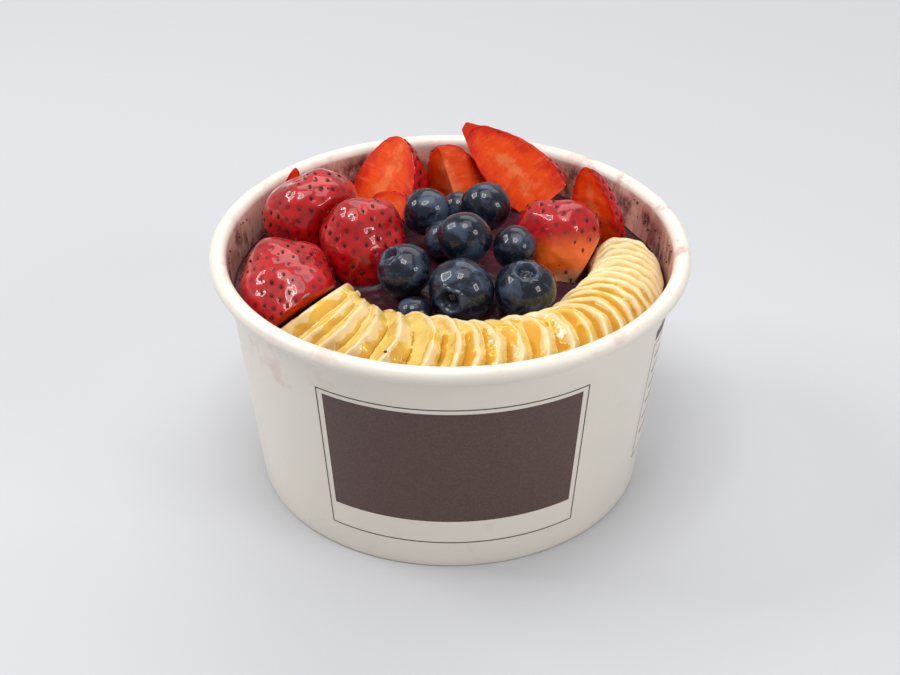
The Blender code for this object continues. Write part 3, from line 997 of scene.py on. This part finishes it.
def make_acai(fruit_tree):
    """A filled tub whose top laps a little up the fruit and the wall."""
    columns, rings, side_rows = 220, 76, 8
    edge = inside_radius(ACAI_EDGE) - 0.05 * MM
    points = []
    for ring in range(rings):
        reach = edge * (ring + 1) / rings
        for step in range(columns):
            angle = math.tau * step / columns
            x, y = reach * math.cos(angle), reach * math.sin(angle)
            mound = ACAI_MOUND * math.exp(-((reach / MOUND_RADIUS) ** 2))
            ripple = ACAI_RIPPLE * noise.noise(Vector((x, y, 0)) / (9 * MM))
            fine = 0.25 * MM * noise.noise(Vector((x, y, 1)) / (2.5 * MM))
            height = ACAI_EDGE + mound + ripple + fine
            found = fruit_tree.find_nearest(Vector((x, y, height)), 4 * MM)
            if found[0] is not None:
                height += 1.1 * MM * max(0, 1 - found[3] / (2.2 * MM)) ** 2
            height += 0.9 * MM * math.exp(-((edge - reach) / (1.2 * MM)))
            reach_now = min(reach, inside_radius(height) - 0.03 * MM)
            points.append((reach_now * math.cos(angle), reach_now * math.sin(angle), height))
    floor = SKIRT_HEIGHT + PAPER + 0.05 * MM
    for height in np.linspace(ACAI_EDGE - 2 * MM, floor, side_rows):
        for step in range(columns):
            angle = math.tau * step / columns
            reach = inside_radius(height) - 0.05 * MM
            points.append((reach * math.cos(angle), reach * math.sin(angle), height))
    points += [(0, 0, ACAI_EDGE + ACAI_MOUND), (0, 0, floor)]
    faces = capped_faces(rings + side_rows, columns)
    new_piece("acai_puree", points, faces, acai_material(), ["acai"])


def tree_of(pieces):
    points, faces = [], []
    for piece in pieces:
        start = len(points)
        points += [v.co.copy() for v in piece.data.vertices]
        faces += [tuple(c + start for c in p.vertices) for p in piece.data.polygons]
    return BVHTree.FromPolygons(points, faces)


def make_specks(fruit_tree):
    """Bits of acai skin: a few on the fruit and more on the tub's inside."""
    places = []
    for number in range(70):
        turn = 2.39996 * number  # the golden angle, so that they spread evenly
        angle = math.radians(100 + 95 * math.sin(turn) + 25 * math.sin(3.1 * number))
        height = (59 + 5.5 * math.sin(1.7 * number) ** 2) * MM
        reach = inside_radius(height) - 0.05 * MM
        place = Vector((reach * math.cos(angle), reach * math.sin(angle), height))
        places.append((place, 0.11 + 0.08 * (number % 4)))
    spots = ((-15.7, -47), (-33, 18), (-27, 8), (-44, -14), (30, 3), (-39, 26), (-20, 9), (-25, 1))
    for number, (x, y) in enumerate(spots):
        found = fruit_tree.ray_cast(Vector((x * MM, y * MM, ABOVE_ALL)), Vector((0, 0, -1)), 0.05)
        if found[0] is not None:
            places.append((found[0], 0.42 if number == 0 else 0.28))
    points, faces = [], []
    rings, sides = 4, 7
    for middle, size in places:
        start = len(points)
        for ring in range(rings):
            polar = math.pi * (ring + 0.5) / rings
            for step in range(sides):
                angle = math.tau * step / sides + size
                wide = math.sin(polar)
                out = Vector((wide * math.cos(angle) * 1.3, wide * math.sin(angle), math.cos(polar)))
                points.append(middle + out * size * MM)
        points += [middle + Vector((0, 0, size * MM)), middle - Vector((0, 0, size * MM))]
        faces += [tuple(c + start for c in face[::-1]) for face in capped_faces(rings, sides)]
    shader = Shader("acai_specks", 0.4)
    shader.colour(shader.mix(shader.ramp(shader.noise(500, 2), 0.35, 0.65), SPECK_DARK, SPECK_LIGHT))
    new_piece("acai_specks", points, faces, shader.material)


# ---- The stage ----


def make_stage():
    mesh = bpy.data.meshes.new("floor")
    size = 3.0
    corners = [(-size, -size, 0), (size, -size, 0), (size, size, 0), (-size, size, 0)]
    mesh.from_pydata(corners, [], [(0, 1, 2, 3)])
    shader = Shader("floor", 0.7)
    cloud = shader.ramp(shader.noise(3, 2), 0.3, 0.7)
    shader.colour(shader.mix(cloud, FLOOR, tuple(0.985 * c for c in FLOOR)))
    mesh.materials.append(shader.material)
    floor = bpy.data.objects.new("floor", mesh)
    bpy.context.scene.collection.objects.link(floor)


def add_lamp(name, direction, distance, size, power, shift=(0, 0)):
    """A flat lamp that faces the bowl, moved in its own plane by the shift."""
    lamp = bpy.data.lights.new(name, "AREA")
    lamp.shape = "RECTANGLE"
    lamp.size, lamp.size_y = size
    lamp.energy = power
    lamp.color = WHITE
    away = Vector(direction).normalized()
    turn = away.to_track_quat("Z", "Y")
    obj = bpy.data.objects.new(name, lamp)
    obj.location = Vector((0, 0, 0.06)) + away * distance + turn @ Vector((*shift, 0))
    obj.rotation_euler = turn.to_euler()
    bpy.context.scene.collection.objects.link(obj)


def add_softbox(name, direction, distance, side, power):
    """A square softbox whose edge is brighter than its middle."""
    bar = side / 12
    add_lamp(f"{name}_middle", direction, distance, (side, side), power * 0.3)
    for number, (x, y) in enumerate(((0, 1), (0, -1), (1, 0), (-1, 0))):
        size = (side, bar) if y else (bar, side - 2 * bar)
        shift = (x * (side - bar) / 2, y * (side - bar) / 2)
        add_lamp(f"{name}_edge_{number}", direction, distance - 0.002, size, power * 0.175, shift)


def make_light():
    add_softbox("softbox_left", (-0.74, 0.15, 0.64), 0.9, 0.32, 2.8)
    add_softbox("softbox_top", (-0.1, -0.25, 1), 0.95, 0.3, 2.4)
    add_softbox("softbox_right", (0.75, -0.49, 0.5), 1.0, 0.26, 1.8)
    add_lamp("panel_over", (0.02, -0.08, 1), 1.15, (1.0, 0.8), 5.2)
    add_lamp("panel_back", (0.2, 0.6, 0.72), 1.15, (1.2, 0.55), 3.6)
    world = bpy.data.worlds.new("studio")
    world.use_nodes = True
    background = world.node_tree.nodes["Background"]
    background.inputs["Color"].default_value = (1, 1, 1, 1)
    background.inputs["Strength"].default_value = 0.36
    bpy.context.scene.world = world


def make_camera():
    data = bpy.data.cameras.new("camera")
    data.lens = 76.02
    data.sensor_width = 36
    data.clip_start = 0.01
    camera = bpy.data.objects.new("camera", data)
    camera.location = (0, -0.4361, 0.3167)
    camera.rotation_euler = (math.radians(57.37), 0, 0)
    bpy.context.scene.collection.objects.link(camera)
    bpy.context.scene.camera = camera


def main():
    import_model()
    bpy.context.scene.view_settings.view_transform = "Standard"
    make_camera()
    make_light()
    make_stage()
    make_tub()
    make_print()
    fruit = []
    skin, seed = strawberry_material(), Shader("strawberry_seed", 0.5, Specular_IOR_Level=0.2)
    seed.colour(seed.mix(seed.ramp(seed.noise(160, 2), 0.35, 0.65), SEED_RIPE, SEED_DARK))
    for berry in STRAWBERRIES:
        fruit.append(make_strawberry(berry, skin, seed.material))
    wax = blueberry_material()
    for berry in BLUEBERRIES:
        fruit.append(make_blueberry(berry, wax))
    flesh = banana_material()
    slices = list(fan_slices())
    bananas = []
    for number, (piece, following) in enumerate(zip(slices, slices[1:]), 1):
        bananas.append(make_slice(number, piece, following, flesh))
    make_honey(tree_of(bananas))
    toppings = tree_of(fruit + bananas)
    make_acai(toppings)
    make_specks(toppings)


main()
